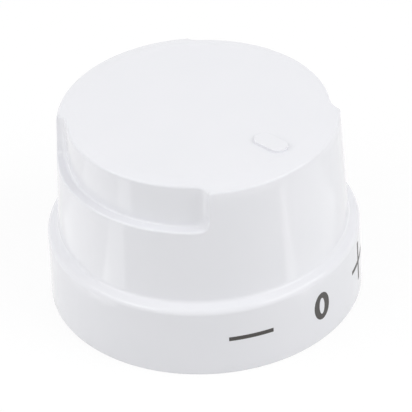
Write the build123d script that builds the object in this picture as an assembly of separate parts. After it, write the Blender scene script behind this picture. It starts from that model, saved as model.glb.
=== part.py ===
"""Push-on control knob of a kitchen appliance, for a round thermostat shaft with a flat.

One white moulding with a slotted hub, and a spring steel ring that presses the hub on its shaft.
The knob stands on the rim of its skirt. The origin is the centre of that rim, +Z runs up the turning
axis, the index on the top and the zero position face -Y, and the two finger grips face +X and -X.
Sizes are in millimetres and degrees.
"""
from build123d import *
from math import hypot, radians, tan
import os

# Skirt: the wide foot, almost a cylinder
SKIRT_RIM_RADIUS = 21.0
SKIRT_DRAFT = 0.2
SKIRT_HEIGHT = 9.9
RIM_CHAMFER = 0.3
SHOULDER_EDGE_RADIUS = 0.8

# Shoulder: the sloping step from the skirt to the barrel
SHOULDER_WIDTH = 1.45
SHOULDER_RISE = 0.75

# Barrel: the part that is held, narrower towards the top
BARREL_HEIGHT = 16.05
BARREL_TAPER = 0.9

# Top: flat, with a shallow bevel round its edge
BEVEL_WIDTH = 2.05
BEVEL_DROP = 0.7
BEVEL_BLEND_RADIUS = 1.5

# Sharp edges of the top and of the grips are broken alike
CROWN_CHAMFER = 0.3

# Finger grips: two opposite sectors of the barrel, set back above a ledge
GRIP_ANGLE = 96.0
GRIP_DEPTH = 1.42
GRIP_LEDGE_HEIGHT = 21.1
GRIP_DRAFT = 0.6
GRIP_END_SLANT = 45.0
GRIP_CORNER_RADIUS = 1.4

# Index: a raised oblong on the top, its long side along the radius
INDEX_LENGTH = 5.2
INDEX_WIDTH = 3.0
INDEX_HEIGHT = 0.35
INDEX_FROM_AXIS = 13.0
INDEX_CHAMFER = 0.12

# Moulded walls
WALL = 2.1
TOP_WALL = 2.2

# Hub with the shaft socket
SHAFT_RADIUS = 3.0
SHAFT_ACROSS_FLAT = 4.6
GUIDE_CLEARANCE = 0.2
SOCKET_CLEARANCE = 0.02
HUB_RADIUS = 5.6
HUB_ABOVE_RIM = 1.2
GUIDE_LENGTH = 6.5
SOCKET_DEPTH = 21.5
LEAD_IN = 0.5
SLIT_WIDTH = 1.0
SLIT_LENGTH = 10.0

# Ribs from the hub to the barrel
RIB_COUNT = 4
RIB_THICKNESS = 1.4
RIB_LOWER_EDGE = 12.5

# Spring ring in the groove of the hub
RING_WIDTH = 4.0
RING_THICKNESS = 0.6
RING_GAP_ANGLE = 50.0
RING_SEAT_DEPTH = 0.5
RING_FROM_MOUTH = 1.9
RING_SIDE_CLEARANCE = 0.2
RING_RADIAL_CLEARANCE = 0.03
RING_END_RADIUS = 0.25

# An edge belongs to a surface when it lies this near to it
NEAR = 0.01

# Heights and radii that follow
skirt_top_radius = SKIRT_RIM_RADIUS - SKIRT_DRAFT
barrel_base_radius = skirt_top_radius - SHOULDER_WIDTH
barrel_base_height = SKIRT_HEIGHT + SHOULDER_RISE
barrel_rim_radius = barrel_base_radius - BARREL_TAPER
barrel_rim_height = barrel_base_height + BARREL_HEIGHT
top_flat_radius = barrel_rim_radius - BEVEL_WIDTH
top_height = barrel_rim_height + BEVEL_DROP
ceiling_height = top_height - TOP_WALL
guide_radius = SHAFT_RADIUS + GUIDE_CLEARANCE
socket_radius = SHAFT_RADIUS + SOCKET_CLEARANCE
groove_radius = HUB_RADIUS - RING_SEAT_DEPTH
groove_bottom = HUB_ABOVE_RIM + RING_FROM_MOUTH
groove_top = groove_bottom + RING_WIDTH + RING_SIDE_CLEARANCE


def barrel_radius(height):
    """Radius of the barrel's outer wall at a height."""
    share = (height - barrel_base_height) / BARREL_HEIGHT
    return barrel_base_radius - BARREL_TAPER * share


def grip_radius(height):
    """Radius of the set-back wall of a finger grip at a height."""
    at_ledge = barrel_radius(GRIP_LEDGE_HEIGHT) - GRIP_DEPTH
    return at_ledge - (height - GRIP_LEDGE_HEIGHT) * tan(radians(GRIP_DRAFT))


def bevel_height(radius):
    """Height of the bevel round the top at a radius."""
    return top_height - BEVEL_DROP * (radius - top_flat_radius) / BEVEL_WIDTH


skirt_inside = skirt_top_radius - WALL
skirt_ceiling = SKIRT_HEIGHT - WALL
barrel_ceiling = GRIP_LEDGE_HEIGHT - WALL
barrel_inside = barrel_radius(barrel_ceiling) - WALL
grip_inside = grip_radius(top_height) - WALL


def turned_shell():
    """Outer skin, hollow inside and plain hub, turned from one half section."""
    corners = [
        ((0, top_height), 0),
        ((top_flat_radius, top_height), BEVEL_BLEND_RADIUS),
        ((barrel_rim_radius, barrel_rim_height), 0),
        ((barrel_base_radius, barrel_base_height), 0),
        ((skirt_top_radius, SKIRT_HEIGHT), SHOULDER_EDGE_RADIUS),
        ((SKIRT_RIM_RADIUS, RIM_CHAMFER), 0),
        ((SKIRT_RIM_RADIUS - RIM_CHAMFER, 0), 0),
        ((skirt_inside + RIM_CHAMFER, 0), 0),
        ((skirt_inside, RIM_CHAMFER), 0),
        ((skirt_inside, skirt_ceiling), 0),
        ((barrel_inside, skirt_ceiling), 0),
        ((barrel_inside, barrel_ceiling), 0),
        ((grip_inside, barrel_ceiling), 0),
        ((grip_inside, ceiling_height), 0),
        ((HUB_RADIUS, ceiling_height), 0),
        ((HUB_RADIUS, groove_top), 0),
        ((groove_radius, groove_top), 0),
        ((groove_radius, groove_bottom), 0),
        ((HUB_RADIUS, groove_bottom), 0),
        ((HUB_RADIUS, HUB_ABOVE_RIM + LEAD_IN), 0),
        ((HUB_RADIUS - LEAD_IN, HUB_ABOVE_RIM), 0),
        ((0, HUB_ABOVE_RIM), 0),
    ]
    points = [point for point, _ in corners]
    radii = [radius for _, radius in corners]
    outline = FilletPolyline(*points, radius=radii, close=True)
    return revolve(make_face(Plane.XZ * outline), Axis.Z, 360)


def grip_wedge(outside, above):
    """Upright wedge round +X, whose two slanting sides are the end walls of a grip."""
    end = Vector(barrel_radius(GRIP_LEDGE_HEIGHT), 0).rotate(Axis.Z, GRIP_ANGLE / 2)
    outwards = Vector(1, 0).rotate(Axis.Z, GRIP_ANGLE / 2 + 90 - GRIP_END_SLANT)
    apex = end - outwards * (end.Y / outwards.Y)
    far = end + outwards * outside
    plan = Polyline(
        (apex.X, 0),
        (far.X, far.Y),
        (2 * outside, far.Y),
        (2 * outside, -far.Y),
        (far.X, -far.Y),
        close=True,
    )
    return extrude(make_face(plan), above)


def grip_cutter():
    """The space of one finger grip, centred on +X, with rounded lower corners."""
    outside = barrel_base_radius + WALL
    above = top_height + WALL
    section = Polyline(
        (grip_radius(GRIP_LEDGE_HEIGHT), GRIP_LEDGE_HEIGHT),
        (outside, GRIP_LEDGE_HEIGHT),
        (outside, above),
        (grip_radius(above), above),
        close=True,
    )
    half_ring = Rot(0, 0, -90) * revolve(make_face(Plane.XZ * section), Axis.Z, 180)
    cutter = half_ring & grip_wedge(outside, above)
    ledge_ends = cutter.edges().filter_by(GeomType.LINE).group_by(Axis.Z)[0]
    return fillet(ledge_ends, GRIP_CORNER_RADIUS)


def crown_edges(body):
    """Sharp edges of the grips on the barrel, and of the whole rim of the bevel."""
    innermost = grip_radius(top_height) - NEAR
    chosen = []
    for edge in body.edges():
        places = [edge.position_at(share) for share in (0, 0.5, 1)]
        spread = [(hypot(p.X, p.Y), p.Z) for p in places]
        if min(z for _, z in spread) < GRIP_LEDGE_HEIGHT - NEAR:
            continue
        on_bevel = all(abs(z - bevel_height(r)) < NEAR and r > innermost for r, z in spread)
        on_barrel = all(abs(r - barrel_radius(z)) < NEAR for r, z in spread)
        if on_bevel or on_barrel:
            chosen.append(edge)
    return chosen


def ribs():
    """Upright ribs on the diagonals, from the hub into the barrel wall."""
    into_wall = WALL / 2
    into_ceiling = ceiling_height + TOP_WALL / 2
    side = Polyline(
        (0, RIB_LOWER_EDGE),
        (barrel_inside + into_wall, RIB_LOWER_EDGE),
        (barrel_inside + into_wall, barrel_ceiling),
        (grip_inside + into_wall, barrel_ceiling + into_wall),
        (grip_inside + into_wall, into_ceiling),
        (0, into_ceiling),
        close=True,
    )
    plate = extrude(make_face(Plane.XZ * side), RIB_THICKNESS / 2, both=True)
    turn = 360 / RIB_COUNT
    return [Rot(0, 0, turn * (number + 0.5)) * plate for number in range(RIB_COUNT)]


def shaft_socket():
    """Round guide at the hub's mouth, then the socket with the flat, as one space."""
    guide = extrude(Circle(guide_radius), GUIDE_LENGTH)
    flat_from_axis = SHAFT_ACROSS_FLAT - SHAFT_RADIUS + SOCKET_CLEARANCE
    beyond_flat = Pos(0, -flat_from_axis - socket_radius / 2) * Rectangle(2 * socket_radius, socket_radius)
    keyed = extrude(Circle(socket_radius) - beyond_flat, SOCKET_DEPTH)
    mouth = Pos(0, 0, LEAD_IN / 2) * Cone(guide_radius + LEAD_IN, guide_radius, LEAD_IN)
    return Pos(0, 0, HUB_ABOVE_RIM) * (guide + keyed + mouth)


def hub_slits():
    """The slot across the hub that parts it into two jaws, with a round end."""
    reach = HUB_RADIUS + SLIT_WIDTH
    below_mouth = SLIT_WIDTH
    length = SLIT_LENGTH + below_mouth
    middle = HUB_ABOVE_RIM + SLIT_LENGTH - length / 2
    side = Plane.YZ * (Pos(0, middle) * SlotOverall(length, SLIT_WIDTH, rotation=90))
    return extrude(side, reach, both=True)


def top_index():
    """The raised oblong on the top, towards -Y."""
    root = TOP_WALL / 4
    oblong = Pos(0, -INDEX_FROM_AXIS) * SlotOverall(INDEX_LENGTH, INDEX_WIDTH, rotation=90)
    boss = Pos(0, 0, top_height - root) * extrude(oblong, root + INDEX_HEIGHT)
    upper = boss.edges().group_by(Axis.Z)[-1]
    return chamfer(upper, INDEX_CHAMFER)


def knob_body():
    """The moulding."""
    body = turned_shell()
    cutter = grip_cutter()
    body -= cutter
    body -= Rot(0, 0, 180) * cutter
    body = chamfer(crown_edges(body), CROWN_CHAMFER)
    for rib in ribs():
        body += rib
    body -= shaft_socket()
    body -= hub_slits()
    body += top_index()
    return body


def hub_spring_ring():
    """The C-shaped ring of strip steel, open towards +Y."""
    inner = groove_radius + RING_RADIAL_CLEARANCE
    outer = inner + RING_THICKNESS
    section = Polyline(
        (inner, groove_bottom),
        (outer, groove_bottom),
        (outer, groove_bottom + RING_WIDTH),
        (inner, groove_bottom + RING_WIDTH),
        close=True,
    )
    ring = revolve(make_face(Plane.XZ * section), Axis.Z, 360 - RING_GAP_ANGLE)
    ring = Rot(0, 0, 90 + RING_GAP_ANGLE / 2) * ring
    return fillet(ring.edges().filter_by(Axis.Z), RING_END_RADIUS)


os.makedirs("parts", exist_ok=True)
export_step(knob_body(), "parts/knob_body.step")
export_step(hub_spring_ring(), "parts/hub_spring_ring.step")
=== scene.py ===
"""Thermostat knob of a kitchen appliance: a glossy white moulding with printed marks, on a white floor.

Every length is in metres in the frame of the packed model: the origin is the centre of the skirt's rim,
+Z runs up the turning axis, the index and the zero face -Y, and the finger grips face +X and -X.
"""
from collections import namedtuple
from math import atan, atan2, ceil, copysign, cos, pi, radians, remainder, sin, tan

import bmesh
import bpy
from bpy.props import FloatProperty, FloatVectorProperty, PointerProperty
from bpy.types import Operator, Panel, PropertyGroup
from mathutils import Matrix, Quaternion, Vector


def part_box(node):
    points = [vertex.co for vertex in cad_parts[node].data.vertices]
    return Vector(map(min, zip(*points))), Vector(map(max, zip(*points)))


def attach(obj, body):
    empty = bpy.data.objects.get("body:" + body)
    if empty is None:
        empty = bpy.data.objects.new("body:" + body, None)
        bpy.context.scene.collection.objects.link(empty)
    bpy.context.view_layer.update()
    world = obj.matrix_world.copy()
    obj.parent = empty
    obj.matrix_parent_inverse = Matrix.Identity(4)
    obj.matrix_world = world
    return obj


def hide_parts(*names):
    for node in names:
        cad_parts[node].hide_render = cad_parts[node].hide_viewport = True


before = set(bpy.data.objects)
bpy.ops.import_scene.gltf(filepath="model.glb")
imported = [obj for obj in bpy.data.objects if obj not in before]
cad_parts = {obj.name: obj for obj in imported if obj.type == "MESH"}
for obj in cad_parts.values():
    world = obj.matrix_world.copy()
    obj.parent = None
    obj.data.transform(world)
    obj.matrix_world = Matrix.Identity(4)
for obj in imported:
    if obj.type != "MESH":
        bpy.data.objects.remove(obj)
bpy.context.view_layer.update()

bl_info = {
    "name": "Thermostat Knob",
    "version": (1, 0, 0),
    "blender": (4, 5, 0),
    "location": "View3D > Sidebar > Knob",
    "description": "Builds a moulded thermostat knob with its spring ring, printed marks and studio",
    "category": "Object",
}

MM = 0.001

# What the packed model gives
MOULDING_NODE = "knob_body"
RING_NODE = "hub_spring_ring"
MOULDING_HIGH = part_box(MOULDING_NODE)[1]
RING_LOW, RING_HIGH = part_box(RING_NODE)

# The index stands on the flat top, and its upper face is the highest of the moulding
INDEX_HEIGHT = 0.35 * MM

# How finely the meshes are drawn
COLUMN_SPACING = 0.33 * MM
ARC_STEPS = 8
WALL_STEPS = 3
TOP_STEPS = 10
OUTLINE_STEPS = 48
LATHE_STEPS = 144

# An edge with a larger angle than this is shaded as a sharp one
SHARP_EDGE = radians(32)

# A row of points this close to a rounding keeps its shading off the plain wall beside it
GUARD = 0.05 * MM

# Exponent of the grips' lower corners, where 2 is round and more is squarer
CORNER_SQUARENESS = 3

# Passes that settle the height at which a wall meets the bevel
CROWN_PASSES = 3

# Width of the skin's flat underside at the rim, in roundings of the rim's edge
RIM_FACE = 4

# The range that most of a noise pattern lies in
NOISE_LOW = 0.3
NOISE_HIGH = 0.7

WHITE = (1, 1, 1, 1)


def linear(code):
    """Linear red, green and blue of an sRGB hex colour."""
    shares = [int(code[start:start + 2], 16) / 255 for start in (0, 2, 4)]
    return [s / 12.92 if s <= 0.04045 else ((s + 0.055) / 1.055) ** 2.4 for s in shares]


def length(name, description, default):
    """A property for a length in metres."""
    return FloatProperty(
        name=name, description=description, default=default, min=0, precision=5, unit="LENGTH"
    )


def angle(name, description, default):
    """A property for an angle, with its default in degrees."""
    return FloatProperty(
        name=name, description=description, default=radians(default), unit="ROTATION"
    )


def colour(name, description, default):
    """A property for a colour, with its default as an sRGB hex value."""
    return FloatVectorProperty(
        name=name, description=description, default=linear(default), min=0, max=1, subtype="COLOR"
    )


def strength(name, description, default):
    """A property for a light's radiance, where 1 shows as white."""
    return FloatProperty(name=name, description=description, default=default, min=0)


class MouldingSizes(PropertyGroup):
    """Outer skin of the moulding."""

    rim_radius: length("Rim radius", "Radius of the skirt at its rim", MOULDING_HIGH.y)
    rim_edge: length("Rim edge", "Rounding of the skirt's lower edge", 0.3 * MM)
    skirt_draft: length("Skirt draft", "How much narrower the skirt is at its top", 0.2 * MM)
    skirt_height: length("Skirt height", "Height of the skirt's upper edge", 9.9 * MM)
    shoulder_edge: length("Shoulder edge", "Rounding of the skirt's upper edge", 0.8 * MM)
    shoulder_width: length("Shoulder width", "Width of the sloping step above the skirt", 1.45 * MM)
    shoulder_rise: length("Shoulder rise", "Rise of that step towards the barrel", 0.75 * MM)
    shoulder_root: length("Shoulder root", "Rounding of the corner below the barrel", 0.6 * MM)
    barrel_taper: length("Barrel taper", "How much narrower the barrel is at its rim", 0.9 * MM)
    top_height: length("Top height", "Height of the flat top", MOULDING_HIGH.z - INDEX_HEIGHT)
    bevel_width: length("Bevel width", "Width of the bevel round the top", 2.05 * MM)
    bevel_drop: length("Bevel drop", "Drop of the bevel to the barrel's rim", 0.7 * MM)
    bevel_blend: length(
        "Bevel blend", "Reach of the bevel's ease into the flat top, to each side", 1.0 * MM
    )
    crown_edge: length("Crown edge", "Rounding of the edge round the top", 0.42 * MM)
    grip_angle: angle("Grip angle", "Angle that one finger grip takes", 94.8)
    grip_depth: length("Grip depth", "How far a grip is set back at its ledge", 1.42 * MM)
    grip_draft: angle("Grip draft", "Lean of the grip's wall", 0.6)
    grip_ledge: length("Grip ledge", "Height of the ledge below a grip", 21.1 * MM)
    grip_slant: angle("Grip slant", "Slant of a grip's end walls from the barrel's wall", 60)
    grip_cove: length("Grip cove", "Rounding between a grip's wall and its end walls", 1.95 * MM)
    grip_corner: length(
        "Grip corner", "Reach of a grip's rounded lower corners, seen from outside", 2.3 * MM
    )
    grip_edge: length("Grip edge", "Rounding of a grip's outer edge", 0.27 * MM)
    grip_root: length("Grip root", "Rounding between a grip's wall and its ledge", 0.33 * MM)


class IndexSizes(PropertyGroup):
    """Raised oblong on the top."""

    length: length("Length", "Length along the radius", 5.0 * MM)
    width: length("Width", "Width across the radius", 2.6 * MM)
    height: length("Height", "Height above the top", INDEX_HEIGHT)
    edge: length("Edge", "Rounding of the upper edge", 0.07 * MM)
    from_axis: length("From axis", "Distance of its middle from the turning axis", 12.75 * MM)


class HollowSizes(PropertyGroup):
    """Hollow inside, hub and ribs of the moulding."""

    wall: length("Wall", "Wall of the skirt and the barrel", 2.1 * MM)
    top_wall: length("Top wall", "Wall of the top", 2.2 * MM)
    corner: length("Corner", "Rounding of the hollow's corners", 0.4 * MM)
    hub_radius: length("Hub radius", "Radius of the hub", 5.6 * MM)
    hub_mouth: length("Hub mouth", "Height of the hub's mouth above the rim", 1.2 * MM)
    lead_in: length("Lead-in", "Bevel at the hub's mouth", 0.5 * MM)
    groove_depth: length("Groove depth", "Depth of the groove under the spring ring", 0.5 * MM)
    groove_play: length("Groove play", "Room above the spring ring", 0.2 * MM)
    guide_radius: length("Guide radius", "Radius of the round guide for the shaft", 3.2 * MM)
    guide_depth: length("Guide depth", "Depth of the guide from the mouth", 6.5 * MM)
    socket_radius: length("Socket radius", "Radius of the socket with the flat", 3.02 * MM)
    socket_flat: length("Socket flat", "Distance of the flat from the axis", 1.62 * MM)
    socket_depth: length("Socket depth", "Depth of the socket from the mouth", 21.5 * MM)
    slit_width: length("Slit width", "Width of the slit across the hub", 1.0 * MM)
    slit_depth: length("Slit depth", "Depth of the slit from the mouth", 10.0 * MM)
    rib_thickness: length("Rib thickness", "Thickness of the ribs", 1.4 * MM)
    rib_height: length("Rib height", "Height of the ribs' lower edge", 12.5 * MM)


class MarkSizes(PropertyGroup):
    """Printed marks on the skirt."""

    height: length("Height", "Height of the row of marks", 5.5 * MM)
    spacing: angle("Spacing", "Angle from one mark to the next", 30)
    bar: length("Bar", "Thickness of the minus and the plus", 0.6 * MM)
    sign: length("Sign", "Length of the minus and of the plus' bars", 6.0 * MM)
    zero_width: length("Zero width", "Width of the zero", 2.8 * MM)
    zero_height: length("Zero height", "Height of the zero", 4.2 * MM)
    zero_side: length("Zero side", "Thickness of the zero's line at its sides", 0.92 * MM)
    zero_end: length("Zero end", "Thickness of the zero's line at its top and bottom", 0.84 * MM)
    film: length("Film", "Thickness of the ink above the skirt", 0.012 * MM)


class FinishColours(PropertyGroup):
    """Colours of the object's finishes."""

    plastic: colour("Plastic", "Moulded white plastic", "ECECF0")
    plastic_flow: colour("Plastic flow", "Slightly deeper tone along the flow of the melt", "E8E9ED")
    ink: colour("Ink", "Printed marks", "3B3937")
    ink_thin: colour("Thin ink", "Where the ink lies thinner", "4E4B48")
    steel: colour("Steel", "Rolled spring steel", "C4C5C6")
    steel_line: colour("Steel line", "Rolling lines in the steel", "A9AAAC")


class StageSettings(PropertyGroup):
    """Floor, light and camera."""

    floor: colour("Floor", "Pale paper floor", "CFCFCF")
    floor_reach: length("Floor reach", "Radius of the floor", 1.5)
    floor_opening: length("Floor opening", "Radius of the opening under the moulding", 20.9 * MM)
    ambient: strength("Ambient", "Light from all round", 0.59)
    left: strength("Left", "Radiance of the softbox low on the left", 0.93)
    left_key: strength("Left key", "Radiance of the softbox high in front on the left", 1.29)
    right: strength("Right", "Radiance of the softbox low on the right", 0.4)
    right_key: strength("Right key", "Radiance of the softbox high in front on the right", 2.36)
    back: strength("Back", "Radiance of the softbox low behind", 0.8)
    left_gloss: strength("Left gloss", "Radiance of what the edges mirror high on the left", 1.9)
    right_gloss: strength("Right gloss", "Radiance of what the edges mirror high on the right", 1.9)
    left_card: strength("Left card", "Radiance of the card on the floor on the left", 0.33)
    left_strip: strength("Left strip", "Radiance of the narrow card beside it", 0.89)
    right_card: strength("Right card", "Radiance of the card on the floor on the right", 0.38)
    right_strip: strength("Right strip", "Radiance of the narrow card beside it", 0.61)
    floor_lift: FloatProperty(
        name="Floor lift", description="Share of the floor's white that no shadow darkens",
        default=0.85, min=0, max=1, subtype="FACTOR",
    )
    azimuth: angle("Azimuth", "Camera's place round the object, from the front", -45)
    elevation: angle("Elevation", "Camera's height above the horizon", 37.12)
    roll: angle("Roll", "Turn of the camera about its line of sight", -2.95)
    distance: length("Distance", "Camera's distance from the origin", 352.7 * MM)
    aim_height: length("Aim height", "Height that the camera looks at", 11.8 * MM)
    aim_right: length("Aim right", "How far to the right of the axis it looks", 0.415 * MM)
    lens: FloatProperty(
        name="Lens", description="Focal length on a 36 mm sensor", default=227.2, min=1, unit="CAMERA"
    )


EdgePoint = namedtuple("EdgePoint", "inset depth share turn")
Column = namedtuple("Column", "centre side place inset")
Row = namedtuple("Row", "place rise")
Softbox = namedtuple("Softbox", "turn elevation width height")
Card = namedtuple("Card", "bearing width height")

# Softboxes that light the object without a reflection, as behind a polarising filter. The turn from the
# camera and the elevation are in degrees, and the sizes are in metres
SOFTBOX_DISTANCE = 0.6
SOFTBOXES = {
    "left": Softbox(-95, 22, 0.8, 0.4),
    "left_key": Softbox(-62, 42, 0.45, 0.4),
    "right": Softbox(80, 16, 0.75, 0.34),
    "right_key": Softbox(62, 42, 0.45, 0.4),
    "back": Softbox(180, 14, 0.6, 0.28),
}

# Softboxes that show in the gloss only, on the rounded edges
GLOSS_BOXES = {
    "left_gloss": Softbox(-70, 48, 0.45, 0.2),
    "right_gloss": Softbox(75, 48, 0.45, 0.2),
}

# Bright cards on the floor that show in the gloss only, on the upright walls: their length, the radius
# of the wall that mirrors them and their gap to it. A strip lies above its card, because a reflection
# shows only one of two lamps in the same plane
CARD_LENGTH = 36 * MM
CARD_WALL = 18.8 * MM
CARD_GAP = 14.5 * MM
CARD_HEIGHT = 0.05 * MM
STRIP_HEIGHT = 2 * CARD_HEIGHT
CARDS = {
    "left_card": Card(-40, 30 * MM, CARD_HEIGHT),
    "left_strip": Card(-32.5, 10 * MM, STRIP_HEIGHT),
    "right_card": Card(32, 36 * MM, CARD_HEIGHT),
    "right_strip": Card(31.5, 5 * MM, STRIP_HEIGHT),
}


def polar(radius, bearing, height):
    """Point at a radius and a bearing round the turning axis, counted from +X."""
    return Vector((radius * cos(bearing), radius * sin(bearing), height))


def rounded(corners):
    """Points along an open outline of (radius, height, rounding) corners, with the roundings as arcs."""
    points = []
    for number, (radius, height, rounding) in enumerate(corners):
        corner = Vector((radius, height))
        if not rounding:
            points.append(corner)
            continue
        before = (Vector(corners[number - 1][:2]) - corner).normalized()
        after = (Vector(corners[number + 1][:2]) - corner).normalized()
        half = before.angle(after) / 2
        run = rounding / tan(half)
        centre = corner + (before + after).normalized() * (rounding / sin(half))
        start = corner + before * run - centre
        first = atan2(start.y, start.x)
        turn = pi - 2 * half
        if before.cross(after) > 0:
            turn = -turn
        points.append(corner + before * (run + GUARD))
        for step in range(ARC_STEPS + 1):
            bearing = first + turn * step / ARC_STEPS
            points.append(centre + Vector((cos(bearing), sin(bearing))) * rounding)
        points.append(corner + after * (run + GUARD))
    return points


class KnobForm:
    """Walls of the moulding, worked out from its sizes."""

    def __init__(self, size):
        self.size = size
        self.skirt_top_radius = size.rim_radius - size.skirt_draft
        self.barrel_base_radius = self.skirt_top_radius - size.shoulder_width
        self.barrel_base_height = size.skirt_height + size.shoulder_rise
        self.barrel_rim_radius = self.barrel_base_radius - size.barrel_taper
        self.barrel_rim_height = size.top_height - size.bevel_drop
        self.flat_radius = self.barrel_rim_radius - size.bevel_width
        self.grip_end_radius = self.barrel_radius(size.grip_ledge)
        self.crown_turn = pi / 2 - atan(size.bevel_drop / size.bevel_width)
        self.ends = self.edge_section(size.grip_slant, size.grip_cove)
        self.ledge = self.edge_section(pi / 2, size.grip_root)
        self.rows = self.ledge_rows()
        self.foot = self.foot_outline()

    def skirt_radius(self, height):
        """Radius of the skirt at a height."""
        return self.size.rim_radius - self.size.skirt_draft * height / self.size.skirt_height

    def barrel_radius(self, height):
        """Radius of the barrel at a height."""
        rise = self.barrel_rim_height - self.barrel_base_height
        share = (height - self.barrel_base_height) / rise
        return self.barrel_base_radius - self.size.barrel_taper * share

    def grip_radius(self, height):
        """Radius of a finger grip's wall at a height."""
        lean = (height - self.size.grip_ledge) * tan(self.size.grip_draft)
        return self.grip_end_radius - self.size.grip_depth - lean

    def bevel_height(self, radius):
        """Height of the bevel at a radius, as it eases into the flat top."""
        size = self.size
        slope = size.bevel_drop / size.bevel_width
        past = radius - self.flat_radius
        if past >= size.bevel_blend:
            return size.top_height - slope * past
        eased = max(0, past + size.bevel_blend)
        return size.top_height - slope * eased ** 2 / (4 * size.bevel_blend)

    def foot_outline(self):
        """Radius and height from the rim's underside up to the barrel below the grips."""
        size = self.size
        below_grips = size.grip_ledge + self.ledge[0].inset - size.grip_corner
        return rounded([
            (size.rim_radius - RIM_FACE * size.rim_edge, 0, 0),
            (size.rim_radius, 0, size.rim_edge),
            (self.skirt_top_radius, size.skirt_height, size.shoulder_edge),
            (self.barrel_base_radius, self.barrel_base_height, size.shoulder_root),
            (self.barrel_radius(below_grips), below_grips, 0),
        ])

    def edge_section(self, slant, root):
        """Section across a grip's border: its outer edge, a slanting wall and the inner corner.

        inset is the distance into the grip, and depth is how far the wall is set back. From the inner
        corner on, where share is 1, both count from the foot of the wall. turn is the angle of the
        outward direction, from the radius towards the grip.
        """
        edge = self.size.grip_edge
        before = tan(slant / 2)
        down = GUARD * sin(slant)
        along = GUARD * cos(slant)
        turns = [slant * step / ARC_STEPS for step in range(ARC_STEPS + 1)]
        outer = [EdgePoint(edge * (sin(t) - before), edge * (1 - cos(t)), 0, t) for t in turns]
        inner = [EdgePoint(root * (before - sin(t)), root * (cos(t) - 1), 1, t) for t in reversed(turns)]
        return [
            EdgePoint(outer[0].inset - GUARD, 0, 0, 0),
            *outer,
            EdgePoint(outer[-1].inset + along, outer[-1].depth + down, 0, slant),
            EdgePoint(inner[0].inset - along, inner[0].depth - down, 1, slant),
            *inner,
            EdgePoint(inner[-1].inset + GUARD, 0, 1, 0),
        ]

    def whole_depth(self, height):
        """How far a grip is set back from the barrel at a height."""
        return self.barrel_radius(height) - self.grip_radius(height)

    def end_inset(self, place, height):
        """Distance into the grip of a point of its end wall at a height."""
        point = self.ends[place]
        return point.inset + point.share * self.whole_depth(height) / tan(self.size.grip_slant)

    def spread(self, first, place):
        """Even place of an edge point on the walls that the edge doesn't reach."""
        return first + (self.size.grip_corner - first) * place / len(self.ends)

    def ledge_rows(self):
        """Rows of points across the ledge, up to where a grip's lower corner ends."""
        first = self.ledge[0].inset
        return [Row(place, self.spread(first, place)) for place in range(len(self.ledge) + 1)]

    def columns(self):
        """Columns all round, close together at the ends of the grips, where place counts edge points."""
        half = self.size.grip_angle / 2
        sector = (pi / 2 - half) * self.grip_end_radius
        grip = half * self.grip_end_radius
        first = self.ends[0].inset
        quarter = []
        run = sector + first
        count = ceil(run / COLUMN_SPACING)
        for number in range(count):
            quarter.append((-1, -sector + run * number / count))
        for place in range(len(self.ends)):
            quarter.append((place, self.spread(first, place)))
        run = grip - self.size.grip_corner
        count = ceil(run / COLUMN_SPACING)
        for number in range(count + 1):
            quarter.append((len(self.ends), self.size.grip_corner + run * number / count))
        columns = []
        for centre in (0, pi):
            columns += [Column(centre, -1, place, inset) for place, inset in quarter]
            columns += [Column(centre, 1, place, inset) for place, inset in reversed(quarter[1:-1])]
        return columns

    def bearing(self, column, inset):
        """Bearing of a point of a column at a distance into its grip."""
        from_middle = self.size.grip_angle / 2 - inset / self.grip_end_radius
        return column.centre + column.side * from_middle

    def set_back(self, place, height, on_ledge=0):
        """How far the wall is set back at an edge point.

        on_ledge runs from 0 at an end wall to 1 at the ledge.
        """
        whole = self.whole_depth(height)
        if place < 0:
            return 0
        if place >= len(self.ends):
            return whole
        at_end = self.ends[place].depth + self.ends[place].share * whole
        at_ledge = self.ledge[place].depth + self.ledge[place].share * whole
        return at_end + (at_ledge - at_end) * on_ledge

    def corner_place(self, place, turn):
        """Inset and rise of a point in a grip's lower corner.

        turn runs from -1 at an end wall to 1 at the ledge.
        """
        far = self.size.grip_corner
        middle = 0.5 ** (1 / CORNER_SQUARENESS)
        short = (1 - abs(turn)) * middle
        full = (1 - short ** CORNER_SQUARENESS) ** (1 / CORNER_SQUARENESS)
        across, up = (full, short) if turn < 0 else (short, full)
        inset = far - (far - self.end_inset(place, self.size.grip_ledge)) * across
        rise = far - (far - self.ledge[place].inset) * up
        return inset, rise

    def wall_point(self, column, row):
        """Point where a column and a row of the ledge cross."""
        inset = column.inset
        rise = row.rise
        on_ledge = 0
        place = min(column.place, row.place)
        if 0 <= place < len(self.ends):
            if max(column.place, row.place) < len(self.ends):
                turn = (column.place - row.place) / (len(self.ends) - place)
                inset, rise = self.corner_place(place, turn)
                on_ledge = (1 + turn) / 2
            elif column.place == place:
                inset = self.end_inset(place, self.size.grip_ledge + rise)
            else:
                rise = self.ledge[place].inset
                on_ledge = 1
        height = self.size.grip_ledge + rise
        radius = self.barrel_radius(height) - self.set_back(place, height, on_ledge)
        return polar(radius, self.bearing(column, inset), height)

    def upright_point(self, column, height):
        """Point of a column on the walls above the ledge's corners."""
        inset = column.inset
        if 0 <= column.place < len(self.ends):
            inset = self.end_inset(column.place, height)
        radius = self.barrel_radius(height) - self.set_back(column.place, height)
        return polar(radius, self.bearing(column, inset), height)

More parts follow.
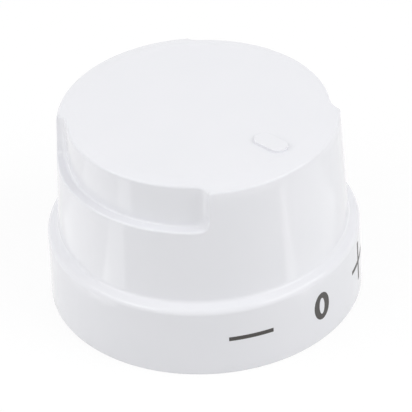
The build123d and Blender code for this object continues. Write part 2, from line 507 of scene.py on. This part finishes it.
    def crown_points(self, column):
        """Points of a column above the ledge: up the wall and over the rounded edge on to the bevel."""
        size = self.size
        height = self.barrel_rim_height
        for _ in range(CROWN_PASSES):
            height = self.bevel_height(self.upright_point(column, height).xy.length)
        low = size.grip_ledge + size.grip_corner
        start = height - size.crown_edge * tan(self.crown_turn / 2)
        points = []
        for step in range(1, WALL_STEPS + 1):
            share = step / WALL_STEPS
            points.append(self.upright_point(column, low + (start - GUARD - low) * share))
        corner = self.upright_point(column, height)
        corner.z = 0
        turn = self.ends[column.place].turn if 0 <= column.place < len(self.ends) else 0
        outward = Quaternion((0, 0, 1), -column.side * turn) @ corner.normalized()
        reach = size.crown_edge * (1 - cos(self.crown_turn))
        end = self.bevel_height((corner - outward * reach).length)
        for step in range(ARC_STEPS + 1):
            roll = self.crown_turn * step / ARC_STEPS
            point = corner - outward * size.crown_edge * (1 - cos(roll))
            point.z = start + (end - start) * sin(roll) / sin(self.crown_turn)
            points.append(point)
        beyond = corner - outward * (reach + GUARD)
        beyond.z = self.bevel_height(beyond.length)
        points.append(beyond)
        return points

    def top_points(self, column, edge):
        """Points of a column from the rounded edge over the bevel to the flat top."""
        outer = edge.xy.length
        inner = self.flat_radius - self.size.bevel_blend
        start = atan2(edge.y, edge.x)
        turn = remainder(self.bearing(column, column.inset) - start, 2 * pi)
        points = []
        for step in range(1, TOP_STEPS + 1):
            share = step / TOP_STEPS
            radius = outer + (inner - outer) * share
            points.append(polar(radius, start + turn * share, self.bevel_height(radius)))
        return points

    def meridian(self, column):
        """Points of a column from the rim's underside to the flat top."""
        bearing = self.bearing(column, column.inset)
        points = [polar(radius, bearing, height) for radius, height in self.foot]
        points += [self.wall_point(column, row) for row in self.rows]
        points += self.crown_points(column)
        points += self.top_points(column, points[-1])
        return points


def index_rings(index, top_height):
    """Rings of points up the raised oblong, over its rounded edge and on to its top."""
    levels = [(0, 0)]
    for step in range(ARC_STEPS + 1):
        turn = pi / 2 * step / ARC_STEPS
        levels.append((index.edge * (1 - cos(turn)), index.height + index.edge * (sin(turn) - 1)))
    levels.append((index.edge + GUARD, index.height))
    end = index.width / 2
    middle = (index.length - index.width) / 2
    rings = []
    for inset, rise in levels:
        ring = []
        for way in (1, -1):
            for step in range(OUTLINE_STEPS // 2 + 1):
                bearing = pi * step / (OUTLINE_STEPS // 2)
                reach = end - inset
                across = way * reach * cos(bearing)
                along = way * (middle + reach * sin(bearing))
                ring.append(Vector((across, along - index.from_axis, top_height + rise)))
        rings.append(ring)
    return rings


def add_rings(mesh, rings):
    """Add rings of points to a mesh, joined by faces, and return their corners."""
    corners = [[mesh.verts.new(point) for point in ring] for ring in rings]
    for lower, upper in zip(corners, corners[1:]):
        for number in range(len(lower)):
            following = (number + 1) % len(lower)
            mesh.faces.new((lower[number], lower[following], upper[following], upper[number]))
    return corners


def ring_edges(mesh, ring):
    """Edges along a closed ring of corners."""
    return [mesh.edges.get((ring[number - 1], ring[number])) for number in range(len(ring))]


def new_object(name, mesh):
    """Put a mesh into the scene with all its faces outwards."""
    bmesh.ops.recalc_face_normals(mesh, faces=mesh.faces)
    data = bpy.data.meshes.new(name)
    mesh.to_mesh(data)
    mesh.free()
    made = bpy.data.objects.new(name, data)
    bpy.context.scene.collection.objects.link(made)
    return made


def ring_solid(name, rings):
    """Closed solid over rings of points, with a flat face on the first and on the last."""
    mesh = bmesh.new()
    corners = add_rings(mesh, rings)
    mesh.faces.new(reversed(corners[0]))
    mesh.faces.new(corners[-1])
    return new_object(name, mesh)


def turned(name, outline):
    """Solid turned about the axis from an outline of radius and height with flat ends."""
    bearings = [2 * pi * step / LATHE_STEPS for step in range(LATHE_STEPS)]
    rings = [[polar(radius, b, height) for b in bearings] for radius, height in outline]
    return ring_solid(name, rings)


def swept(name, outline, sweep):
    """Solid from a flat outline that is swept along a straight line."""
    return ring_solid(name, [outline, [point + sweep for point in outline]])


def work(solid, tool, operation):
    """Cut a tool out of a solid or join it on, and remove the tool."""
    step = solid.modifiers.new(operation, "BOOLEAN")
    step.operation = operation
    step.solver = "EXACT"
    step.object = tool
    graph = bpy.context.evaluated_depsgraph_get()
    before = solid.data
    solid.data = bpy.data.meshes.new_from_object(solid.evaluated_get(graph))
    solid.modifiers.clear()
    bpy.data.meshes.remove(before)
    bpy.data.meshes.remove(tool.data)


def outer_skin(form, index):
    """The moulding's outside with the index, as a solid with a flat underside."""
    mesh = bmesh.new()
    meridians = [form.meridian(column) for column in form.columns()]
    rings = add_rings(mesh, zip(*meridians))
    boss = add_rings(mesh, index_rings(index, form.size.top_height))
    mesh.faces.new(reversed(rings[0]))
    mesh.faces.new(boss[-1])
    top_border = ring_edges(mesh, rings[-1]) + ring_edges(mesh, boss[0])
    bmesh.ops.triangle_fill(mesh, use_beauty=True, normal=(0, 0, 1), edges=top_border)
    return new_object("knob_moulding", mesh)


def hollow_inside(form, hollow):
    """The space inside the moulding, round the hub and below its mouth, with a bevel at the rim."""
    ledge = form.size.grip_ledge - hollow.wall
    ceiling = form.size.top_height - hollow.top_wall
    skirt = form.skirt_top_radius - hollow.wall
    barrel = form.barrel_radius(ledge) - hollow.wall
    grip = form.grip_radius(form.size.top_height) - hollow.wall
    groove = hollow.hub_radius - hollow.groove_depth
    step = form.size.skirt_height - hollow.wall
    edge = form.size.rim_edge
    outline = rounded([
        (skirt + 2 * edge, -edge, 0),
        (skirt, edge, 0),
        (skirt, step, hollow.corner),
        (barrel, step, hollow.corner),
        (barrel, ledge, hollow.corner),
        (grip, ledge, hollow.corner),
        (grip, ceiling, hollow.corner),
        (hollow.hub_radius, ceiling, hollow.corner),
        (hollow.hub_radius, RING_HIGH.z + hollow.groove_play, 0),
        (groove, RING_HIGH.z + hollow.groove_play, 0),
        (groove, RING_LOW.z, 0),
        (hollow.hub_radius, RING_LOW.z, 0),
        (hollow.hub_radius, hollow.hub_mouth + hollow.lead_in, 0),
        (hollow.hub_radius - hollow.lead_in, hollow.hub_mouth, 0),
    ])
    return turned("hollow", outline)


def rib_plate(form, hollow, bearing):
    """An upright plate across the hub, with a rib at each end."""
    reach = form.size.rim_radius
    across = polar(hollow.rib_thickness, bearing + pi / 2, 0)
    low = polar(reach, bearing, hollow.rib_height) - across / 2
    far = polar(reach, bearing + pi, hollow.rib_height) - across / 2
    up = Vector((0, 0, form.size.top_height - hollow.rib_height))
    return swept("rib", [low, far, far + up, low + up], across)


def shaft_guide(hollow):
    """The round guide at the hub's mouth with its lead-in."""
    mouth = hollow.hub_mouth
    radius = hollow.guide_radius
    lead = hollow.lead_in
    return turned("guide", [
        (radius + 2 * lead, mouth - lead),
        (radius, mouth + lead),
        (radius, mouth + hollow.guide_depth),
    ])


def shaft_socket(hollow):
    """The socket for the shaft's flat, from inside the guide to its end."""
    low = hollow.hub_mouth + hollow.guide_depth / 2
    flat = atan2(hollow.socket_flat, (hollow.socket_radius ** 2 - hollow.socket_flat ** 2) ** 0.5)
    sweep = pi + 2 * flat
    outline = []
    for step in range(OUTLINE_STEPS + 1):
        outline.append(polar(hollow.socket_radius, -flat + sweep * step / OUTLINE_STEPS, low))
    up = Vector((0, 0, hollow.hub_mouth + hollow.socket_depth - low))
    return swept("socket", outline, up)


def hub_slit(hollow):
    """The slit that parts the hub into two jaws, with a round end."""
    reach = hollow.hub_radius + hollow.slit_width
    half = hollow.slit_width / 2
    end = hollow.hub_mouth + hollow.slit_depth - half
    low = hollow.hub_mouth - half
    outline = [Vector((-reach, -half, low)), Vector((-reach, half, low))]
    for step in range(OUTLINE_STEPS // 2 + 1):
        bearing = pi * step / (OUTLINE_STEPS // 2)
        outline.append(Vector((-reach, half * cos(bearing), end + half * sin(bearing))))
    return swept("slit", outline, Vector((2 * reach, 0, 0)))


def knob_moulding(scene):
    """The whole moulding as one solid."""
    form = KnobForm(scene.knob_moulding)
    hollow = scene.knob_hollow
    space = hollow_inside(form, hollow)
    for bearing in (pi / 4, 3 * pi / 4):
        work(space, rib_plate(form, hollow, bearing), "DIFFERENCE")
    for tool in (shaft_guide(hollow), shaft_socket(hollow), hub_slit(hollow)):
        work(space, tool, "UNION")
    moulding = outer_skin(form, scene.knob_index)
    work(moulding, space, "DIFFERENCE")
    moulding.data.shade_smooth()
    moulding.data.set_sharp_from_angle(angle=SHARP_EDGE)
    return moulding


def bar_cells(size, bar, upright):
    """Points and cells of a minus, or of a plus where it has an upright bar too."""
    count = ceil(size / COLUMN_SPACING)
    half = bar / 2
    run = size / 2 - half
    arm = [run * step / count for step in range(count)]
    along = [a - size / 2 for a in arm] + [-half, half] + [size / 2 - a for a in reversed(arm)]
    up = [-size / 2, -half, half, size / 2] if upright else [-half, half]
    points = [(a, u) for a in along for u in up]
    cells = []
    for column in range(len(along) - 1):
        for row in range(len(up) - 1):
            if not upright or column == count or row == 1:
                first = column * len(up) + row
                cells.append((first, first + len(up), first + len(up) + 1, first + 1))
    return points, cells


def oval_cells(width, height, side, end):
    """Points and cells of an upright oval ring. side and end are its line's thickness there."""
    points = []
    cells = []
    count = OUTLINE_STEPS * 2
    for step in range(count):
        bearing = 2 * pi * step / count
        for share in (0, 1):
            across = width / 2 - side * share
            up = height / 2 - end * share
            points.append((across * cos(bearing), up * sin(bearing)))
        first = 2 * step
        following = 2 * ((step + 1) % count)
        cells.append((first, following, following + 1, first + 1))
    return points, cells


def printed_mark(name, form, marks, turn, shape):
    """A film of ink on the skirt, a turn round from the front, with its underside in the plastic."""
    mesh = bmesh.new()
    points, cells = shape
    layers = []
    for proud in (-marks.film, marks.film):
        layer = []
        for along, up in points:
            height = marks.height + up
            radius = form.skirt_radius(height)
            bearing = turn - pi / 2 + along / radius
            layer.append(mesh.verts.new(polar(radius + proud, bearing, height)))
        layers.append(layer)
    for layer in layers:
        for cell in cells:
            mesh.faces.new([layer[corner] for corner in cell])
    lower, upper = layers
    borders = {}
    for cell in cells:
        for first, second in zip(cell, cell[1:] + cell[:1]):
            side = (min(first, second), max(first, second))
            borders[side] = borders.get(side, 0) + 1
    for (first, second), uses in borders.items():
        if uses == 1:
            mesh.faces.new((lower[first], lower[second], upper[second], upper[first]))
    loose = [corner for corner in mesh.verts if not corner.link_faces]
    bmesh.ops.delete(mesh, geom=loose, context="VERTS")
    mark = new_object(name, mesh)
    mark.data.shade_smooth()
    mark.data.set_sharp_from_angle(angle=SHARP_EDGE)
    return mark


def add_node(tree, kind, inputs, **settings):
    """Add a node with its settings. An input is linked where a socket is given and set otherwise."""
    node = tree.nodes.new(kind)
    for name, value in settings.items():
        setattr(node, name, value)
    for name, value in inputs.items():
        if isinstance(value, bpy.types.NodeSocket):
            tree.links.new(value, node.inputs[name])
        else:
            node.inputs[name].default_value = value
    return node


def new_material(name):
    """An empty node material and its tree."""
    material = bpy.data.materials.new(name)
    material.use_nodes = True
    material.node_tree.nodes.clear()
    return material, material.node_tree


def gloss_abs_moulded(finish):
    """White ABS, injection moulded in a polished tool.

    The polish gives a clear, slightly soft gloss. The melt's flow leaves a faint drift of tone a few
    millimetres wide, and shrinkage over the walls leaves a waviness that bends reflections a little.
    """
    material, tree = new_material("abs_moulded_gloss_white")
    place = add_node(tree, "ShaderNodeTexCoord", {})
    flow_width = 9 * MM
    flow = add_node(tree, "ShaderNodeTexNoise", {
        "Vector": place.outputs["Object"], "Scale": 1 / flow_width, "Detail": 2, "Roughness": 0.5,
    })
    tone = add_node(tree, "ShaderNodeMix", {
        "Factor": flow.outputs["Fac"], "A": (*finish.plastic, 1), "B": (*finish.plastic_flow, 1),
    }, data_type="RGBA")
    polish_width = 1.6 * MM
    polish = add_node(tree, "ShaderNodeTexNoise", {
        "Vector": place.outputs["Object"], "Scale": 1 / polish_width, "Detail": 4, "Roughness": 0.6,
    })
    gloss = add_node(tree, "ShaderNodeMapRange", {
        "Value": polish.outputs["Fac"], "From Min": NOISE_LOW, "From Max": NOISE_HIGH,
        "To Min": 0.08, "To Max": 0.13,
    })
    wave_width = 3.5 * MM
    wave = add_node(tree, "ShaderNodeTexNoise", {
        "Vector": place.outputs["Object"], "Scale": 1 / wave_width, "Detail": 1, "Roughness": 0.4,
    })
    ripple = add_node(tree, "ShaderNodeBump", {
        "Height": wave.outputs["Fac"], "Strength": 0.25, "Distance": 0.012 * MM,
    })
    shader = add_node(tree, "ShaderNodeBsdfPrincipled", {
        "Base Color": tone.outputs["Result"],
        "Roughness": gloss.outputs["Result"],
        "Normal": ripple.outputs["Normal"],
        "IOR": 1.53,
    })
    add_node(tree, "ShaderNodeOutputMaterial", {"Surface": shader.outputs["BSDF"]})
    return material


def pad_printed_ink(finish):
    """Dark two-part ink, pad printed in one pass.

    It dries to a satin film. The pad leaves the film a little thinner in spots, where it looks paler.
    """
    material, tree = new_material("ink_pad_printed_dark")
    place = add_node(tree, "ShaderNodeTexCoord", {})
    spot_width = 0.5 * MM
    spots = add_node(tree, "ShaderNodeTexNoise", {
        "Vector": place.outputs["Object"], "Scale": 1 / spot_width, "Detail": 3, "Roughness": 0.6,
    })
    tone = add_node(tree, "ShaderNodeMix", {
        "Factor": spots.outputs["Fac"], "A": (*finish.ink, 1), "B": (*finish.ink_thin, 1),
    }, data_type="RGBA")
    satin = add_node(tree, "ShaderNodeMapRange", {
        "Value": spots.outputs["Fac"], "From Min": NOISE_LOW, "From Max": NOISE_HIGH,
        "To Min": 0.38, "To Max": 0.5,
    })
    shader = add_node(tree, "ShaderNodeBsdfPrincipled", {
        "Base Color": tone.outputs["Result"],
        "Roughness": satin.outputs["Result"],
        "IOR": 1.5,
    })
    add_node(tree, "ShaderNodeOutputMaterial", {"Surface": shader.outputs["BSDF"]})
    return material


def rolled_spring_steel(finish):
    """Spring steel strip, cold rolled bright and bent to a ring.

    The rolls leave fine lines along the strip, which run round the ring, so they change over its width.
    """
    material, tree = new_material("spring_steel_rolled_bright")
    place = add_node(tree, "ShaderNodeTexCoord", {})
    line_width = 0.12 * MM
    line_length = 6 * MM
    stretch = (1 / line_length, 1 / line_length, 1 / line_width)
    along = add_node(tree, "ShaderNodeMapping", {
        "Vector": place.outputs["Object"], "Scale": stretch,
    })
    lines = add_node(tree, "ShaderNodeTexNoise", {
        "Vector": along.outputs["Vector"], "Scale": 1, "Detail": 3, "Roughness": 0.6,
    })
    tone = add_node(tree, "ShaderNodeMix", {
        "Factor": lines.outputs["Fac"], "A": (*finish.steel, 1), "B": (*finish.steel_line, 1),
    }, data_type="RGBA")
    polish = add_node(tree, "ShaderNodeMapRange", {
        "Value": lines.outputs["Fac"], "From Min": NOISE_LOW, "From Max": NOISE_HIGH,
        "To Min": 0.22, "To Max": 0.36,
    })
    scratch = add_node(tree, "ShaderNodeBump", {
        "Height": lines.outputs["Fac"], "Strength": 0.3, "Distance": 0.004 * MM,
    })
    shader = add_node(tree, "ShaderNodeBsdfPrincipled", {
        "Base Color": tone.outputs["Result"],
        "Roughness": polish.outputs["Result"],
        "Normal": scratch.outputs["Normal"],
        "Metallic": 1,
    })
    add_node(tree, "ShaderNodeOutputMaterial", {"Surface": shader.outputs["BSDF"]})
    return material


def background_seen(tree):
    """A socket that is 1 where the background is seen straight, in a reflection or through glass."""
    path = add_node(tree, "ShaderNodeLightPath", {})
    direct = add_node(tree, "ShaderNodeMath", {
        0: path.outputs["Is Camera Ray"], 1: path.outputs["Is Glossy Ray"],
    }, operation="MAXIMUM")
    either = add_node(tree, "ShaderNodeMath", {
        0: direct.outputs["Value"], 1: path.outputs["Is Transmission Ray"],
    }, operation="MAXIMUM")
    return either.outputs["Value"]


def matt_paper(stage):
    """Matt pale paper. It shows as white with a soft shadow, and lets a view from below through."""
    material, tree = new_material("paper_matt_pale")
    paper = add_node(tree, "ShaderNodeBsdfDiffuse", {"Color": (*stage.floor, 1)})
    white = add_node(tree, "ShaderNodeBsdfDiffuse", {"Color": WHITE})
    glow = add_node(tree, "ShaderNodeEmission", {"Strength": 1})
    lifted = add_node(tree, "ShaderNodeMixShader", {
        "Fac": stage.floor_lift, 1: white.outputs["BSDF"], 2: glow.outputs["Emission"],
    })
    shown = add_node(tree, "ShaderNodeMixShader", {
        "Fac": background_seen(tree), 1: paper.outputs["BSDF"], 2: lifted.outputs["Shader"],
    })
    side = add_node(tree, "ShaderNodeNewGeometry", {})
    clear = add_node(tree, "ShaderNodeBsdfTransparent", {})
    whole = add_node(tree, "ShaderNodeMixShader", {
        "Fac": side.outputs["Backfacing"], 1: shown.outputs["Shader"], 2: clear.outputs["BSDF"],
    })
    add_node(tree, "ShaderNodeOutputMaterial", {"Surface": whole.outputs["Shader"]})
    return material


def add_floor(stage):
    """A wide sheet of paper, open under the moulding so that light reaches the hub from below."""
    mesh = bmesh.new()
    bearings = [2 * pi * step / OUTLINE_STEPS for step in range(OUTLINE_STEPS)]
    borders = (stage.floor_reach, stage.floor_opening)
    add_rings(mesh, [[polar(radius, b, 0) for b in bearings] for radius in borders])
    floor = new_object("floor", mesh)
    floor.data.materials.append(matt_paper(stage))


def add_world(stage):
    """Even light from all round, and plain white where the background is seen past the floor."""
    world = bpy.data.worlds.new("studio")
    world.use_nodes = True
    tree = world.node_tree
    tree.nodes.clear()
    around = add_node(tree, "ShaderNodeBackground", {"Color": WHITE, "Strength": stage.ambient})
    white = add_node(tree, "ShaderNodeBackground", {"Color": WHITE, "Strength": 1})
    both = add_node(tree, "ShaderNodeMixShader", {
        "Fac": background_seen(tree), 1: around.outputs["Background"], 2: white.outputs["Background"],
    })
    add_node(tree, "ShaderNodeOutputWorld", {"Surface": both.outputs["Shader"]})
    bpy.context.scene.world = world


def direction(azimuth, elevation):
    """Direction from the object to a place round it, where azimuth 0 is the front."""
    level = cos(elevation)
    return Vector((sin(azimuth) * level, -cos(azimuth) * level, sin(elevation)))


def add_lamp(name, width, height, radiance):
    """A rectangular lamp of an even radiance."""
    light = bpy.data.lights.new(name, "AREA")
    light.shape = "RECTANGLE"
    light.size = width
    light.size_y = height
    light.energy = radiance * pi * width * height
    lamp = bpy.data.objects.new(name, light)
    lamp.visible_camera = False
    bpy.context.scene.collection.objects.link(lamp)
    return lamp


def add_softbox(name, azimuth, box, radiance):
    """A lamp in the air that faces the object, placed from the camera's azimuth."""
    lamp = add_lamp(name, box.width, box.height, radiance)
    towards = direction(azimuth + radians(box.turn), radians(box.elevation))
    lamp.location = towards * SOFTBOX_DISTANCE
    lamp.rotation_euler = towards.to_track_quat("Z", "Y").to_euler()
    return lamp


def add_card(name, azimuth, card, radiance):
    """A bright card on the floor, with its front side along one reflection.

    Upright walls at the bearing from the camera's azimuth mirror the line along that side.
    """
    lamp = add_lamp(name, card.width, CARD_LENGTH, radiance)
    bearing = radians(card.bearing)
    along = azimuth + 2 * bearing
    run = direction(along, 0)
    outward = direction(along + copysign(pi / 2, bearing), 0)
    corner = direction(azimuth + bearing, 0) * CARD_WALL + run * CARD_GAP
    middle = corner + run * CARD_LENGTH / 2 + outward * card.width / 2
    lamp.location = middle + Vector((0, 0, card.height))
    lamp.rotation_euler = (pi, 0, along)
    return lamp


def add_camera(stage):
    """The camera at the photograph's view."""
    data = bpy.data.cameras.new("camera")
    data.lens = stage.lens
    camera = bpy.data.objects.new("camera", data)
    right = Vector((cos(stage.azimuth), sin(stage.azimuth), 0))
    aim = right * stage.aim_right + Vector((0, 0, stage.aim_height))
    camera.location = direction(stage.azimuth, stage.elevation) * stage.distance
    sight = (aim - camera.location).to_track_quat("-Z", "Y")
    camera.rotation_mode = "QUATERNION"
    camera.rotation_quaternion = sight @ Quaternion((0, 0, 1), stage.roll)
    bpy.context.scene.collection.objects.link(camera)
    bpy.context.scene.camera = camera


class KNOB_OT_moulding(Operator):
    """Build the white moulding with its hub, ribs and index"""

    bl_idname = "knob.moulding"
    bl_label = "Moulding"

    def execute(self, context):
        moulding = knob_moulding(context.scene)
        moulding.data.materials.clear()
        moulding.data.materials.append(gloss_abs_moulded(context.scene.knob_finish))
        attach(moulding, "root")
        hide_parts(MOULDING_NODE)
        return {"FINISHED"}


class KNOB_OT_spring_ring(Operator):
    """Give the spring ring on the hub its steel"""

    bl_idname = "knob.spring_ring"
    bl_label = "Spring Ring"

    def execute(self, context):
        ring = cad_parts[RING_NODE]
        ring.data.materials.clear()
        ring.data.materials.append(rolled_spring_steel(context.scene.knob_finish))
        return {"FINISHED"}


class KNOB_OT_marks(Operator):
    """Print the minus, the zero and the plus on the skirt"""

    bl_idname = "knob.marks"
    bl_label = "Printed Marks"

    def execute(self, context):
        form = KnobForm(context.scene.knob_moulding)
        marks = context.scene.knob_marks
        ink = pad_printed_ink(context.scene.knob_finish)
        minus = bar_cells(marks.sign, marks.bar, upright=False)
        zero = oval_cells(marks.zero_width, marks.zero_height, marks.zero_side, marks.zero_end)
        plus = bar_cells(marks.sign, marks.bar, upright=True)
        shapes = [
            ("mark_minus", -marks.spacing, minus),
            ("mark_zero", 0, zero),
            ("mark_plus", marks.spacing, plus),
        ]
        for name, turn, shape in shapes:
            mark = printed_mark(name, form, marks, turn, shape)
            mark.data.materials.append(ink)
            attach(mark, "root")
        return {"FINISHED"}


class KNOB_OT_stage(Operator):
    """Lay the floor, set the light and place the camera"""

    bl_idname = "knob.stage"
    bl_label = "Stage"

    def execute(self, context):
        stage = context.scene.knob_stage
        add_floor(stage)
        add_world(stage)
        for name, box in SOFTBOXES.items():
            lamp = add_softbox(f"softbox_{name}", stage.azimuth, box, getattr(stage, name))
            lamp.visible_glossy = False
        for name, box in GLOSS_BOXES.items():
            lamp = add_softbox(f"softbox_{name}", stage.azimuth, box, getattr(stage, name))
            lamp.visible_diffuse = False
        for name, card in CARDS.items():
            lamp = add_card(f"floor_{name}", stage.azimuth, card, getattr(stage, name))
            lamp.visible_diffuse = False
        add_camera(stage)
        context.scene.view_settings.view_transform = "Standard"
        return {"FINISHED"}


class KNOB_PT_sidebar(Panel):
    """Steps that build the knob, in order, and the settings that they use"""

    bl_idname = "KNOB_PT_sidebar"
    bl_label = "Thermostat Knob"
    bl_space_type = "VIEW_3D"
    bl_region_type = "UI"
    bl_category = "Knob"

    def draw(self, context):
        for step in STEPS:
            self.layout.operator(step.bl_idname)
        for name, group in GROUPS.items():
            settings = getattr(context.scene, name)
            column = self.layout.column(align=True)
            column.label(text=group.__doc__)
            for setting in group.__annotations__:
                column.prop(settings, setting)


STEPS = (KNOB_OT_moulding, KNOB_OT_spring_ring, KNOB_OT_marks, KNOB_OT_stage)
GROUPS = {
    "knob_moulding": MouldingSizes,
    "knob_index": IndexSizes,
    "knob_hollow": HollowSizes,
    "knob_marks": MarkSizes,
    "knob_finish": FinishColours,
    "knob_stage": StageSettings,
}


def register():
    """Register the settings, the steps and the panel."""
    for name, group in GROUPS.items():
        bpy.utils.register_class(group)
        setattr(bpy.types.Scene, name, PointerProperty(type=group))
    for step in (*STEPS, KNOB_PT_sidebar):
        bpy.utils.register_class(step)


def unregister():
    """Take the panel, the steps and the settings out again."""
    for step in (KNOB_PT_sidebar, *reversed(STEPS)):
        bpy.utils.unregister_class(step)
    for name, group in reversed(GROUPS.items()):
        delattr(bpy.types.Scene, name)
        bpy.utils.unregister_class(group)


def main():
    """Build the knob and its stage."""
    register()
    bpy.ops.knob.moulding()
    bpy.ops.knob.spring_ring()
    bpy.ops.knob.marks()
    bpy.ops.knob.stage()


if __name__ == "__main__":
    main()
